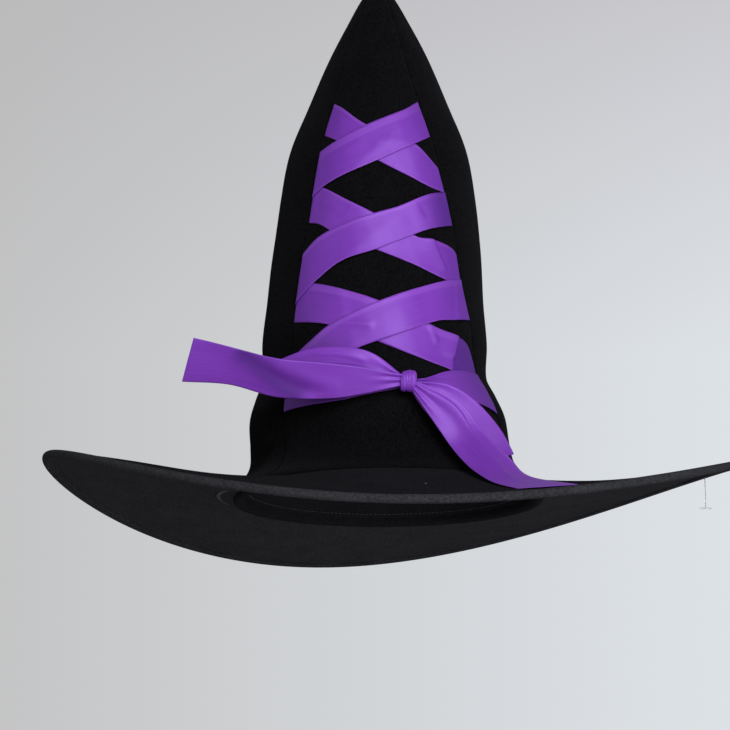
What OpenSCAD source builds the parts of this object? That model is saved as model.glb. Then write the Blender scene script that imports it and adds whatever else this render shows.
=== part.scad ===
// Witch hat: a pointed crown of four padded velour gores sewn to a wide wired brim,
// laced up the front with two satin ribbons that end in a bow.
// Frame: origin at the centre of the head opening, where the crown meets the brim's top;
// +Z up the crown, -Y to the wearer's front, +X to the wearer's left.
// Angles around the hat are measured from the front (-Y) towards +X.

/* [Head opening] */
// Width of the crown where it meets the brim
ring_w = 200; // [170:1:240]
// Length of that oval divided by its width
ring_ratio = 1.18; // [1.1:0.01:1.25]
// Height of the sweatband inside the crown
band_h = 24; // [15:1:35]
// Thickness of the sweatband
band_t = 1; // [0.6:0.1:1.5]

/* [Crown] */
// Height of the crown above the brim
crown_h = 356; // [290:1:430]
// Sideways lean of the crown where it leans most
crown_lean = 8.8; // [0:0.2:12]
// Thickness of the velour skin
skin_t = 1.2; // [0.8:0.1:1.6]
// Thickness of the foam backing
foam_t = 3; // [2:0.1:4]
// Half angle of the front gore at its foot, in degrees
seam_low = 58; // [50:1:65]
// Half angle of the front gore near the tip, in degrees
seam_high = 32; // [25:1:45]
// Turn of the front gore towards +X at its foot, in degrees
turn_low = 7; // [0:0.5:8]
// Turn of the front gore towards -X at the tip, in degrees
turn_high = 10; // [0:0.5:12]

/* [Brim] */
// Diameter of the brim when laid flat
brim_d = 456; // [400:1:550]
// Height by which the sides curl up and the front and back fall
brim_saddle = 23; // [0:1:30]
// Height by which the front hangs lower than the middle and the back rises
brim_tilt = 8; // [0:0.5:12]
// Mean height of the brim's edge below the head opening
brim_drop = 1.7; // [0:0.1:8]
// Diagonal twist of the edge
brim_twist = 5.1; // [0:0.1:8]
// Height by which the right side stands over the left
brim_side = 1.9; // [0:0.1:5]
// Three-lobed waviness of the edge
brim_ripple = 2.7; // [0:0.1:5]
// Depth of the soft dip between crown and edge on the +X side
brim_dip = 2.4; // [0:0.1:4]
// Thickness of each fabric cover
cover_t = 0.5; // [0.4:0.1:0.8]
// Thickness of the foam core
core_t = 1.8; // [1.8:0.1:3]
// Width of the stitched hem on the underside
hem_w = 8.5; // [7:0.5:12]
// Diameter of the edge wire
wire_d = 1.2; // [0.8:0.1:1.3]

/* [Ribbon] */
// Width of the satin ribbon
ribbon_w = 23; // [18:1:28]
// Thickness of the ribbon
ribbon_t = 0.5; // [0.3:0.1:0.6]
// Height of the first crossing's upper ends
lace_top = 246; // [200:1:250]
// Drop from one crossing to the next
lace_pitch = 62.5; // [50:0.5:65]
// Fall of a strand from one seam to the other
lace_drop = 44; // [30:1:50]

/* [Bow] */
// Sideways place of the knot
knot_x = 7; // [-10:1:15]
// Height of the knot
knot_z = 57.5; // [50:0.5:70]
// Radius of the knot
knot_r = 6.5; // [5:0.5:8]
// Depth of the knot, front to back
knot_depth = 8.4; // [7:0.2:11]
// Opening of each loop at its widest
loop_puff = 7; // [4:0.5:9]

/* [Tag fastener] */
// Length of the clear filament under the brim
tag_drop = 21; // [15:1:30]
// Length of each cross bar
tag_bar = 8; // [6:0.5:10]
// Place around the brim, in degrees from the front
tag_angle = 98; // [90:1:110]

/* [Hidden] */
// gap between layers that are sewn face to face
gap = 0.1;
// half of the gap at a seam between two gores
seam_gap = 0.15;
// gap between layers inside the brim
brim_gap = 0.05;
// gap between the sweatband and the foam
band_gap = 0.8;
// clearance between pieces that move and what they pass
clear = 0.4;
wall_t = skin_t + foam_t + 2 * gap;
brim_t = 2 * cover_t + core_t + 2 * brim_gap;
// half-width of the crown as a share of its base, at shares of its height
crown_profile = [
    [0, 1], [0.024, 0.926], [0.052, 0.873], [0.086, 0.858], [0.136, 0.846], [0.175, 0.798],
    [0.212, 0.745], [0.282, 0.752], [0.366, 0.722], [0.464, 0.697], [0.562, 0.661],
    [0.652, 0.600], [0.739, 0.485], [0.832, 0.353], [0.913, 0.216], [0.969, 0.11], [1, 0.02]
];
// lean of the crown's axis as a share of crown_lean, at shares of its height
crown_axis = [
    [0, 0], [0.07, 0.43], [0.14, 0.78], [0.22, 1], [0.36, 0.94], [0.53, 0.65], [0.7, 0.5],
    [1, 0.5]
];
// share of the height over which the oval turns round
round_share = 0.42;
// shares of the height over which the front gore narrows and turns
gore_share = 0.9;
turn_share = 1;
// power of the brim's curve from ring to edge, by how much it is less at +X than at the front,
// the sine of the angle at which the dip is full, and how fast a raised edge draws in
brim_power = 1.32;
power_side = 0.22;
dip_full = 0.6;
draw_in = 1.05;
// where the covers, the foam core and the wire end, measured in from the edge
cover_in = 1;
core_in = 3.2;
wire_in = 2.1;
bind_t = 0.45;
// half angles at the back over which the ferrule reaches and the wire is open
ferrule_half = 1.5;
wire_gap_half = 0.15;
ferrule_wall = 0.2;
fil_r = 0.35;
bar_r = 0.5;
// grid sizes
gore_cols = 9;
brim_rows = 5;
around = 72;
// spans of the profile that take a row at their middle too
fine_spans = 10;

// layers of the lacing over the skin: strands that run from the left lie under the others
under_lift = 0.5;
over_lift = under_lift + ribbon_t + 0.3;
// a strand's width over its upright height at a seam
strand_cos = 0.89;
// degrees by which the last strands stop short of the knot's middle
knot_margin = 4.5;
// width of a strand where the knot gathers it, over the ribbon's width
gathered = 0.1;
// how fast a loop opens away from the knot, and the rounding of the knot's rim
loop_mouth = 1.6;
knot_bulge = 1.2;

velour = [0.05, 0.05, 0.055];
felt = [0.10, 0.10, 0.115];
foam = [0.2, 0.2, 0.21];
satin = [0.45, 0.25, 0.68];
steel = [0.6, 0.6, 0.62];
clear_plastic = [0.85, 0.88, 0.9];

// ---- curves ----
function smooth(u) = let(c = max(0, min(1, u))) c * c * (3 - 2 * c);
function mix(a, b, u) = a + (b - a) * u;

// slope of a table of [x, y] pairs at entry i
function slope(p, i) =
    let(a = max(i - 1, 0), b = min(i + 1, len(p) - 1)) (p[b].y - p[a].y) / (p[b].x - p[a].x);
function span_of(p, x, i = 0) = i >= len(p) - 2 || x < p[i + 1].x ? i : span_of(p, x, i + 1);
// smooth curve through such a table
function table_at(p, x) =
    let(i = span_of(p, x), h = p[i + 1].x - p[i].x, u = (x - p[i].x) / h)
    (2 * u^3 - 3 * u^2 + 1) * p[i].y + (u^3 - 2 * u^2 + u) * h * slope(p, i)
    + (3 * u^2 - 2 * u^3) * p[i + 1].y + (u^3 - u^2) * h * slope(p, i + 1);

// smooth curve through evenly spaced points, u from 0 to 1
function path_at(p, u) =
    let(n = len(p) - 1, i = min(n - 1, floor(u * n)), v = u * n - i,
        m0 = (p[min(i + 1, n)] - p[max(i - 1, 0)]) / (i == 0 ? 1 : 2),
        m1 = (p[min(i + 2, n)] - p[i]) / (i + 2 > n ? 1 : 2))
    (2 * v^3 - 3 * v^2 + 1) * p[i] + (v^3 - 2 * v^2 + v) * m0
    + (3 * v^2 - 2 * v^3) * p[i + 1] + (v^3 - v^2) * m1;

// ---- crown surface ----
function crown_w(z) = ring_w / 2 * table_at(crown_profile, max(0, min(1, z / crown_h)));
function crown_ratio(z) = 1 + (ring_ratio - 1) * (1 - max(0, min(1, z / (round_share * crown_h))));
function crown_x(z) = -crown_lean * table_at(crown_axis, max(0, min(1, z / crown_h)));
// point on the crown at angle t and height z, off outwards from the skin
function crown_pt(t, z, off = 0) = [
    crown_x(z) + (crown_w(z) + off) * sin(t),
    -(crown_w(z) * crown_ratio(z) + off) * cos(t),
    z
];
// half angle of the front and back gores, and the turn of the front gore
function seam(z) = mix(seam_low, seam_high, smooth(z / (gore_share * crown_h)));
function turn(z) = mix(turn_low, -turn_high, smooth(z / (turn_share * crown_h)));
// the angles at which gore k begins and ends: 0 front, 1 at +X, 2 back, 3 at -X
function gore_from(k, z) =
    [turn(z) - seam(z), turn(z) + seam(z), 180 - seam(z), 180 + seam(z)][k];
function gore_to(k, z) =
    [turn(z) + seam(z), 180 - seam(z), 180 + seam(z), 360 + turn(z) - seam(z)][k];

// ---- brim surface ----
function ring_r(t, off = 0) =
    1 / sqrt((sin(t) / (ring_w / 2 + off))^2 + (cos(t) / (ring_w * ring_ratio / 2 + off))^2);
function edge_z(t) =
    -brim_drop + brim_side * sin(t) - brim_tilt * cos(t) - brim_saddle * cos(2 * t)
    - brim_twist * sin(2 * t) + brim_ripple * sin(3 * t + 6);
function edge_run(t) =
    let(flat_run = brim_d / 2 - ring_r(t)) sqrt(flat_run^2 - draw_in * edge_z(t)^2);
// point on the brim's top at angle t, s from the ring (0) to the edge (1), up above it
function brim_pt(t, s, up = 0) =
    let(r = ring_r(t) + edge_run(t) * s, c = max(0, s), power = brim_power - power_side * sin(t),
        dip = 4 * brim_dip * c * (1 - c) * smooth(sin(t) / dip_full),
        z = edge_z(t) * (1 - (1 - c)^power) - dip)
    [r * sin(t), -r * cos(t), z + up];
// the same, measured in from the edge
function rim_pt(t, inward, up = 0) = brim_pt(t, 1 - inward / edge_run(t), up);

// ---- meshes ----
// closed solid between two grids of points: a is the outer face, seen with rows going up
// and columns going to the right; ring joins the last column to the first
module slab(a, b, ring = false) {
    rows = len(a);
    cols = len(a[0]);
    n = rows * cols;
    last = ring ? cols - 1 : cols - 2;
    function at(i, j) = i * cols + (j % cols);
    function under(i, j) = n + at(i, j);
    faces = [
        for (i = [0 : rows - 2], j = [0 : last]) each [
            [at(i, j), at(i + 1, j + 1), at(i, j + 1)],
            [at(i, j), at(i + 1, j), at(i + 1, j + 1)],
            [under(i, j), under(i, j + 1), under(i + 1, j + 1)],
            [under(i, j), under(i + 1, j + 1), under(i + 1, j)]
        ],
        for (j = [0 : last]) each [
            [at(0, j), at(0, j + 1), under(0, j + 1)],
            [at(0, j), under(0, j + 1), under(0, j)],
            [at(rows - 1, j + 1), at(rows - 1, j), under(rows - 1, j)],
            [at(rows - 1, j + 1), under(rows - 1, j), under(rows - 1, j + 1)]
        ],
        if (!ring) for (i = [0 : rows - 2]) each [
            [at(i + 1, 0), at(i, 0), under(i, 0)],
            [at(i + 1, 0), under(i, 0), under(i + 1, 0)],
            [at(i, cols - 1), at(i + 1, cols - 1), under(i + 1, cols - 1)],
            [at(i, cols - 1), under(i + 1, cols - 1), under(i, cols - 1)]
        ]
    ];
    polyhedron(points = concat([for (r = a) each r], [for (r = b) each r]), faces = faces);
}

// unit normal of a grid of points at row i, column j, out of its outer face
function grid_normal(g, i, j) =
    let(rows = len(g), cols = len(g[0]),
        up = g[min(i + 1, rows - 1)][j] - g[max(i - 1, 0)][j],
        along = g[i][min(j + 1, cols - 1)] - g[i][max(j - 1, 0)],
        c = cross(along, up))
    c / norm(c);
// the grid moved by d along its own normals
function grid_offset(g, d) = [
    for (i = [0 : len(g) - 1]) [
        for (j = [0 : len(g[0]) - 1]) g[i][j] + d * grid_normal(g, i, j)
    ]
];
// a sheet of thickness t on both sides of a grid
module sheet(g, t) slab(grid_offset(g, t / 2), grid_offset(g, -t / 2));

// ---- crown ----
// heights of the rows of points: at each entry of the profile, with the lower spans halved
crown_z = [
    for (i = [0 : len(crown_profile) - 2]) each [
        max(gap, crown_h * crown_profile[i].x),
        if (i < fine_spans) crown_h * (crown_profile[i].x + crown_profile[i + 1].x) / 2
    ],
    crown_h
];
function crown_grid(k, off, rows) = [
    for (i = [0 : rows - 1])
        let(z = crown_z[i],
            trim = asin(min(0.5, seam_gap / (crown_w(z) + off))),
            a = gore_from(k, z) + trim,
            b = gore_to(k, z) - trim)
        [for (j = [0 : gore_cols]) crown_pt(mix(a, b, j / gore_cols), z, off)]
];
module crown_layer(k, off_out, off_in, rows)
    slab(crown_grid(k, off_out, rows), crown_grid(k, off_in, rows));
module crown_panel(k) color(velour) crown_layer(k, 0, -skin_t, len(crown_z));
// the foam stops one row short of the tip
module crown_foam(k)
    color(foam) crown_layer(k, -skin_t - gap, -skin_t - gap - foam_t, len(crown_z) - 1);

// band inside the crown that also covers the brim's inner edge
module sweatband() {
    cols = 48;
    heights = [-brim_t, for (z = crown_z) if (z < band_h - 1) z, band_h];
    function band(off) = [
        for (z = heights) [for (j = [0 : cols - 1]) crown_pt(360 * j / cols, z, off)]
    ];
    color(velour) slab(band(-wall_t - band_gap), band(-wall_t - band_gap - band_t), ring = true);
}

// ---- brim ----
// ring of points for one row of a layer; rows -1 to brim_rows run from inside the crown's
// wall to the hem's inner line, and the last two lie at core_in and cover_in from the edge
function brim_row(i, up) = [
    for (j = [0 : around - 1])
        let(t = 360 * j / around, r_in = ring_r(t, gap - wall_t))
        i < 0 ? [r_in * sin(t), -r_in * cos(t), up]
        : i <= brim_rows ? brim_pt(t, (1 - hem_w / edge_run(t)) * i / brim_rows, up)
        : rim_pt(t, i == brim_rows + 1 ? core_in : cover_in, up)
];
module brim_layer(rows, top, thick) slab(
    [for (i = [-1 : rows]) brim_row(i, top - thick)],
    [for (i = [-1 : rows]) brim_row(i, top)],
    ring = true);

module brim_top_cover() color(felt) brim_layer(brim_rows + 2, 0, cover_t);
module brim_foam_core() color(foam) brim_layer(brim_rows + 1, -cover_t - brim_gap, core_t);
module brim_under_cover() color(felt) brim_layer(brim_rows + 2, cover_t - brim_t, cover_t);

// six-sided ring of radius r around the wire's line at angle t
function wire_ring(t, r) = [
    for (k = [0 : 5])
        rim_pt(t, wire_in - r * sin(60 * k), -brim_t / 2 + r * cos(60 * k))
];
module brim_edge_wire() {
    step = 360 / around;
    turns = [
        wire_gap_half, ferrule_half, for (j = [1 : around - 1]) j * step,
        360 - ferrule_half, 360 - wire_gap_half
    ];
    rings = [for (a = turns) wire_ring(180 + a, wire_d / 2)];
    n = len(rings);
    color(steel) polyhedron(
        points = [for (r = rings) each r],
        faces = [
            [for (k = [0 : 5]) k],
            [for (k = [0 : 5]) 6 * n - 1 - k],
            for (i = [0 : n - 2], k = [0 : 5])
                [6 * i + k, 6 * i + 6 + k, 6 * i + 6 + (k + 1) % 6, 6 * i + (k + 1) % 6]
        ]
    );
}
// crimped tube over the two ends of the wire, at the back
module wire_ferrule() {
    ends = [-ferrule_half, -wire_gap_half, wire_gap_half, ferrule_half];
    function tube(r) = [for (a = ends) wire_ring(180 + a, r)];
    bore_r = wire_d / 2 + brim_gap;
    color(steel) slab(tube(bore_r + ferrule_wall), tube(bore_r), ring = true);
}
// folded strip around the edge: each pair is a distance in from the edge and a height
module brim_edge_binding() {
    out = brim_gap + bind_t;
    nose = cover_in - brim_gap;
    inner = [
        [core_in, brim_gap], [nose, brim_gap], [nose, -cover_t], [nose, cover_t - brim_t],
        [nose, -brim_t - brim_gap], [core_in, -brim_t - brim_gap], [hem_w, -brim_t - brim_gap]
    ];
    outer = [
        [core_in, out], [cover_in, out], [0, -cover_t], [0, cover_t - brim_t],
        [cover_in, -brim_t - out], [core_in, -brim_t - out], [hem_w, -brim_t - out]
    ];
    function strip(p) = [
        for (q = p) [for (j = [0 : around - 1]) rim_pt(360 * j / around, q.x, q.y)]
    ];
    color(felt) slab(strip(inner), strip(outer), ring = true);
}

// ---- lacing ----
// strand from seam to seam: z_a at its start, z_b at its end, side = -1 when it starts left
function strand_grid(side, z_a, z_b, lift, u_from = 0, u_to = 1, w_to = ribbon_w) =
    let(rows = 4, cols = 14)
    [for (i = [0 : rows])
        [for (j = [0 : cols])
            let(u = mix(u_from, u_to, (side < 0 ? j : cols - j) / cols),
                w = mix(ribbon_w, w_to, u) / strand_cos,
                z = mix(z_a, z_b, u) + w * (i / rows - 0.5))
            crown_pt(turn(z) + side * seam(z) * (1 - 2 * u), z, lift)]];
module strand(side, z_a, z_b) {
    lift = side < 0 ? under_lift : over_lift;
    color(satin) slab(
        strand_grid(side, z_a, z_b, lift + ribbon_t),
        strand_grid(side, z_a, z_b, lift));
}
// row i of the lacing, counted from the top
module lace(side, i) {
    z_a = lace_top - lace_pitch * i;
    strand(side, z_a, z_a - lace_drop);
}
// the last strand on each side runs level to the knot and is gathered there
module lace_to_knot(side) {
    lift = side < 0 ? under_lift : over_lift;
    reach = seam(knot_z);
    knot_t = asin((knot_x - crown_x(knot_z)) / crown_w(knot_z)) - turn(knot_z);
    stop = (reach - side * knot_t - knot_margin) / (2 * reach);
    function grid(h) = strand_grid(side, knot_z, knot_z, h, 0, stop, gathered * ribbon_w);
    color(satin) slab(grid(lift + ribbon_t), grid(lift));
}

// ---- bow ----
// the knot's centre stands off the crown by the lacing and a clearance
knot_back = -crown_pt(0, knot_z - knot_r).y + over_lift + ribbon_t + clear;
knot = [knot_x, -knot_back - knot_depth / 2, knot_z];
// where a tail lies on the brim: angle, place from ring to edge, height above
function on_brim(p) = brim_pt(p[0], p[1], p[2]) - knot;

// each piece of ribbon lies between a lower and an upper edge, measured from the knot
tail_left_lower = [
    [-7.2, -3, -3.6], [-27, -3.8, -8.3], [-49, -3.8, -11.5], [-82, -1.5, -10.5],
    [-112, 1.5, -1.5], [-141, 4.5, 1]
];
tail_left_upper = [
    [-7.2, -3, 3.6], [-27, -3.8, 6.7], [-49, -3.8, 9], [-82, -1.5, 12.5],
    [-112, 1.5, 20.5], [-134, 4.5, 26.5]
];
tail_right_lower = [
    [2.8, -3, -7.6], [15, -5, -27], [26.4, -14, -45], on_brim([18.2, 0.204, 4.8]),
    on_brim([18, 0.475, 2]), on_brim([18.8, 0.735, 0.9])
];
tail_right_upper = [
    [8, -3, -1.8], [31, -5, -14], [45, -11.5, -33.5], on_brim([27.9, 0.257, 13]),
    on_brim([27.2, 0.46, 4.7]), on_brim([28.2, 0.85, 1.1])
];
loop_left_lower = [
    [-7.2, 1.6, -3.6], [-22, 1.6, -5], [-42, 4, -2.5], [-64, 9, -2.5], [-87, 17, -3.5]
];
loop_left_upper = [
    [-7.2, 1.6, 3.6], [-22, 1.6, 17], [-40, 5.5, 21.5], [-62, 11, 21], [-86, 20, 13.5]
];
loop_right_lower = [
    [2.8, 1.6, -7.6], [8, 1.5, -16], [19, 0.5, -29], [33, 0.5, -44], [48, -3.5, -51]
];
loop_right_upper = [
    [8, 1.6, -1.8], [24, 0.5, -2.5], [41, 5.5, -12], [56, 11, -28], [65.5, 10, -45]
];

// grid between the two edges, with columns running towards +X
function ribbon_grid(lower, upper, to_left, cols = 14, rows = 3) = [
    for (i = [0 : rows])
        [for (j = [0 : cols])
            let(u = (to_left ? cols - j : j) / cols)
            knot + mix(path_at(lower, u), path_at(upper, u), i / rows)]
];
module bow_tail(lower, upper, to_left)
    color(satin) sheet(ribbon_grid(lower, upper, to_left), ribbon_t);

// a loop runs out along its middle surface and back behind it: turn goes from 0 to 180
module bow_loop(lower, upper, to_left) {
    rows = 3;
    cols = 20;
    nip = ribbon_t / 2 + clear;
    function middle(turn) =
        let(u = sin(turn), e = 0.01)
        [for (i = [0 : rows])
            let(a = path_at(lower, u), b = path_at(upper, u),
                d = path_at(lower, min(1, u + e)) - path_at(lower, max(0, u - e)),
                c = cross(b - a, d), n = (to_left ? -1 : 1) * c / norm(c))
            knot + mix(a, b, i / rows)
            + n * cos(turn) * (nip + (loop_puff / 2 - nip) * min(1, loop_mouth * u))];
    turns = [for (j = [0 : cols]) 180 * (to_left ? cols - j : j) / cols];
    g = [for (i = [0 : rows]) [for (a = turns) middle(a)[i]]];
    color(satin) sheet(g, ribbon_t);
}

// barrel on the hinge axis, with a neck back to the lacing
module bow_knot() {
    half = knot_depth / 2;
    neck_r = 0.5 * knot_r;
    neck = (knot_back + crown_pt(0, knot_z + neck_r).y) / 2;
    color(satin) translate(knot) rotate([90, 0, 0]) rotate_extrude($fn = 48) polygon([
        [0, -half - neck], [neck_r, -half - neck], [neck_r, -half],
        [knot_r - knot_bulge, -half], [knot_r, -half + knot_bulge], [knot_r, half - 2 * knot_bulge],
        [knot_r - knot_bulge, half - 0.5 * knot_bulge], [knot_r - 3 * knot_bulge, half], [0, half]
    ]);
}

// ---- tag fastener ----
tag_in = 6;
// rise of the brim towards its edge at the tag
tag_slope = asin((rim_pt(tag_angle, 0).z - rim_pt(tag_angle, tag_bar).z) / tag_bar);
tag_top = rim_pt(tag_angle, tag_in, -brim_t - bind_t - 2 * clear);
module tag_fastener() color(clear_plastic) {
    translate(tag_top - [0, 0, tag_drop]) cylinder(r = fil_r, h = tag_drop, $fn = 24);
    translate(tag_top - [tag_bar / 2, 0, tag_drop]) rotate([0, 90, 0])
        cylinder(r = bar_r, h = tag_bar, $fn = 24);
}
// the bar that holds the filament from above, lying along the brim
module tag_anchor_bar() color(clear_plastic)
    translate(rim_pt(tag_angle, tag_in, bar_r + bind_t + 2 * clear)) rotate([0, 90 - tag_slope, 0])
        cylinder(r = bar_r, h = tag_bar, center = true, $fn = 24);

crown_panel(0);  // crown_front_panel
crown_panel(1);  // crown_right_panel
crown_panel(2);  // crown_back_panel
crown_panel(3);  // crown_left_panel
crown_foam(0);  // crown_front_foam
crown_foam(1);  // crown_right_foam
crown_foam(2);  // crown_back_foam
crown_foam(3);  // crown_left_foam
sweatband();
brim_top_cover();
brim_foam_core();
brim_under_cover();
brim_edge_wire();
wire_ferrule();
brim_edge_binding();
lace(-1, 0);  // lace_left_1
lace(-1, 1);  // lace_left_2
lace(-1, 2);  // lace_left_3
lace_to_knot(-1);  // lace_left_4
lace(1, 0);  // lace_right_1
lace(1, 1);  // lace_right_2
lace(1, 2);  // lace_right_3
lace_to_knot(1);  // lace_right_4
bow_knot();
bow_loop(loop_left_lower, loop_left_upper, true);  // bow_loop_left
bow_loop(loop_right_lower, loop_right_upper, false);  // bow_loop_right
bow_tail(tail_left_lower, tail_left_upper, true);  // bow_tail_left
bow_tail(tail_right_lower, tail_right_upper, false);  // bow_tail_right
tag_fastener();
tag_anchor_bar();
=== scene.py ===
"""Witch hat: a pointed crown of padded velour on a wide wired brim, laced with satin ribbon.

Lengths are in millimetres and angles in degrees, as in the part's source, until a mesh is made.
Angles around the hat are measured from the front (-Y) towards +X, heights from the brim's top at
the head opening. A place on the lacing is given across the front gore: -1 at its left seam
(towards -X), 1 at its right seam.
"""

import bmesh
import bpy
import numpy as np
from mathutils import Matrix


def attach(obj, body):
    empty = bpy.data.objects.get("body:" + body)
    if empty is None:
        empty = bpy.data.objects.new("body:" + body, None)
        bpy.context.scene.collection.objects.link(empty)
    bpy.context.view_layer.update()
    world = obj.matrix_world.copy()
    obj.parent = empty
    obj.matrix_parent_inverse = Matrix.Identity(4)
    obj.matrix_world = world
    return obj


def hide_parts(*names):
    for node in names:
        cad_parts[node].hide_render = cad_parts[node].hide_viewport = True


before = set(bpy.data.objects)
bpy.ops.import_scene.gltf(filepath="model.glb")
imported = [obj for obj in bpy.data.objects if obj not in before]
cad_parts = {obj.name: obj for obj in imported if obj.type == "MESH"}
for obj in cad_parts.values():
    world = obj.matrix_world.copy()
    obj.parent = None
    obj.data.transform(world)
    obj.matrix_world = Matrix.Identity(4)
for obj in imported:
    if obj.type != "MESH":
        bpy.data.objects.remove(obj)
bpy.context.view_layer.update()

MM = 0.001

# ---- driving sizes, the same as the part's ----
RING_W, RING_RATIO = 200.0, 1.18
CROWN_H, CROWN_LEAN = 356.0, 8.8
SKIN_T, FOAM_T, GAP = 1.2, 3.0, 0.1
WALL_T = SKIN_T + FOAM_T + 2 * GAP
SEAM_LOW, SEAM_HIGH = 58.0, 32.0
TURN_LOW, TURN_HIGH = 7.0, 10.0
CROWN_PROFILE = [
    (0, 1), (0.024, 0.926), (0.052, 0.873), (0.086, 0.858), (0.136, 0.846), (0.175, 0.798),
    (0.212, 0.745), (0.282, 0.752), (0.366, 0.722), (0.464, 0.697), (0.562, 0.661),
    (0.652, 0.600), (0.739, 0.485), (0.832, 0.353), (0.913, 0.216), (0.969, 0.11), (1, 0.02),
]
CROWN_AXIS = [
    (0, 0), (0.07, 0.43), (0.14, 0.78), (0.22, 1), (0.36, 0.94), (0.53, 0.65), (0.7, 0.5), (1, 0.5),
]
ROUND_SHARE, GORE_SHARE, TURN_SHARE = 0.42, 0.9, 1.0
BRIM_D, BRIM_SADDLE, BRIM_TILT, BRIM_DROP = 456.0, 23.0, 8.0, 1.7
BRIM_TWIST, BRIM_SIDE, BRIM_RIPPLE, BRIM_DIP = 5.1, 1.9, 2.7, 2.4
BRIM_POWER, POWER_SIDE, DIP_FULL, DRAW_IN = 1.32, 0.22, 0.6, 1.05
COVER_T, CORE_T, BRIM_GAP = 0.5, 1.8, 0.05
BRIM_T = 2 * COVER_T + CORE_T + 2 * BRIM_GAP
CORE_IN, COVER_IN = 3.2, 1.0
RIBBON_W = 23.0
KNOT_X, KNOT_Z, KNOT_R, KNOT_DEPTH = 7.0, 57.5, 6.5, 8.4
LACE_TOP_OUT, LACE_UNDER_OUT = 1.7, 0.95
LOOP_PUFF, LOOP_NIP = 7.0, 0.65
TAG_ANGLE, TAG_IN, TAG_DROP, TAG_BAR = 98.0, 6.0, 21.0, 8.0

# ---- sizes of the visual pieces alone ----
RIBBON_T, BINDING_T, BAND_T = 0.25, 0.4, 0.6
PAD_SHARE = 0.75  # of the foam's thickness
HEM_IN, BAND_SEAM_IN = 7.3, 6.25  # how far in the stitch rows lie
KNOT_CLEAR = 2.2  # from the crown to the knot's back
TAG_CLEAR, TAG_BAR_R = 1.25, 0.5
FOLD_R = 70.0  # radius at which places along the lacing's folds are measured
TAIL_LEFT_RUN, TAIL_RIGHT_RUN, LOOP_LEFT_RUN = 141.0, 130.0, 86.0


# ---- curves ----
def sin(t):
    """Sine of an angle in degrees."""
    return np.sin(np.radians(t))


def cos(t):
    """Cosine of an angle in degrees."""
    return np.cos(np.radians(t))


def smooth(u):
    """0 below 0, 1 above 1, and 3u^2 - 2u^3 between."""
    c = np.clip(u, 0, 1)
    return c * c * (3 - 2 * c)


def mix(a, b, u):
    """a at u = 0, b at u = 1, straight between."""
    return a + (b - a) * u


def bell(d, width):
    """1 at d = 0, falling as exp(-(d / width)^2)."""
    return np.exp(-((d / width) ** 2))


def hermite(v, y0, y1, m0, m1):
    """Cubic from y0 to y1 with end slopes m0 and m1, as v goes from 0 to 1."""
    return (
        (2 * v**3 - 3 * v**2 + 1) * y0
        + (v**3 - 2 * v**2 + v) * m0
        + (3 * v**2 - 2 * v**3) * y1
        + (v**3 - v**2) * m1
    )


def table_at(table, x):
    """Smooth curve through (x, y) pairs, whose slope at a pair is that between its neighbours."""
    table = np.asarray(table, float)
    x = np.clip(np.asarray(x, float), table[0, 0], table[-1, 0])
    n = len(table)
    before, after = np.maximum(np.arange(n) - 1, 0), np.minimum(np.arange(n) + 1, n - 1)
    slope = (table[after, 1] - table[before, 1]) / (table[after, 0] - table[before, 0])
    i = np.clip(np.searchsorted(table[:, 0], x, side="right") - 1, 0, n - 2)
    h = table[i + 1, 0] - table[i, 0]
    v = (x - table[i, 0]) / h
    return hermite(v, table[i, 1], table[i + 1, 1], h * slope[i], h * slope[i + 1])


def path_at(stations, u):
    """Smooth curve through evenly spaced stations, u from 0 to 1."""
    p = np.asarray(stations, float)
    n = len(p) - 1
    u = np.asarray(u, float)
    i = np.minimum(n - 1, np.floor(u * n).astype(int))
    v = (u * n - i)[..., None]
    first, last = i == 0, i + 2 > n
    m0 = (p[np.minimum(i + 1, n)] - p[np.maximum(i - 1, 0)]) / np.where(first, 1, 2)[..., None]
    m1 = (p[np.minimum(i + 2, n)] - p[i]) / np.where(last, 1, 2)[..., None]
    return hermite(v, p[i], p[i + 1], m0, m1)


# ---- the crown's and the brim's surfaces ----
def crown_w(z):
    """Half-width of the crown at height z."""
    return RING_W / 2 * table_at(CROWN_PROFILE, np.clip(z / CROWN_H, 0, 1))


def crown_ratio(z):
    """Length over width of the crown's oval, which turns round with height."""
    return 1 + (RING_RATIO - 1) * (1 - np.clip(z / (ROUND_SHARE * CROWN_H), 0, 1))


def crown_x(z):
    """Sideways place of the crown's axis."""
    return -CROWN_LEAN * table_at(CROWN_AXIS, np.clip(z / CROWN_H, 0, 1))


def crown_pt(t, z, off=0.0):
    """Point on the oval crown at angle t and height z, off outwards from the skin."""
    t, z = np.broadcast_arrays(np.asarray(t, float), np.asarray(z, float))
    w = crown_w(z)
    x = crown_x(z) + (w + off) * sin(t)
    y = -(w * crown_ratio(z) + off) * cos(t)
    return np.stack([x, y, z], -1)


def seam(z):
    """Half angle of the front and back gores."""
    return mix(SEAM_LOW, SEAM_HIGH, smooth(z / (GORE_SHARE * CROWN_H)))


def turn(z):
    """Turn of the front gore's middle line."""
    return mix(TURN_LOW, -TURN_HIGH, smooth(z / (TURN_SHARE * CROWN_H)))


def gore_ends(k, z):
    """Angles at which gore k begins and ends: 0 front, 1 at +X, 2 back, 3 at -X."""
    s, c = seam(z), turn(z)
    return [(c - s, c + s), (c + s, 180 - s), (180 - s, 180 + s), (180 + s, 360 + c - s)][k]


def ring_r(t, off=0.0):
    """Radius of the head opening's oval at angle t."""
    along = RING_W * RING_RATIO / 2 + off
    return 1 / np.sqrt((sin(t) / (RING_W / 2 + off)) ** 2 + (cos(t) / along) ** 2)


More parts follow.
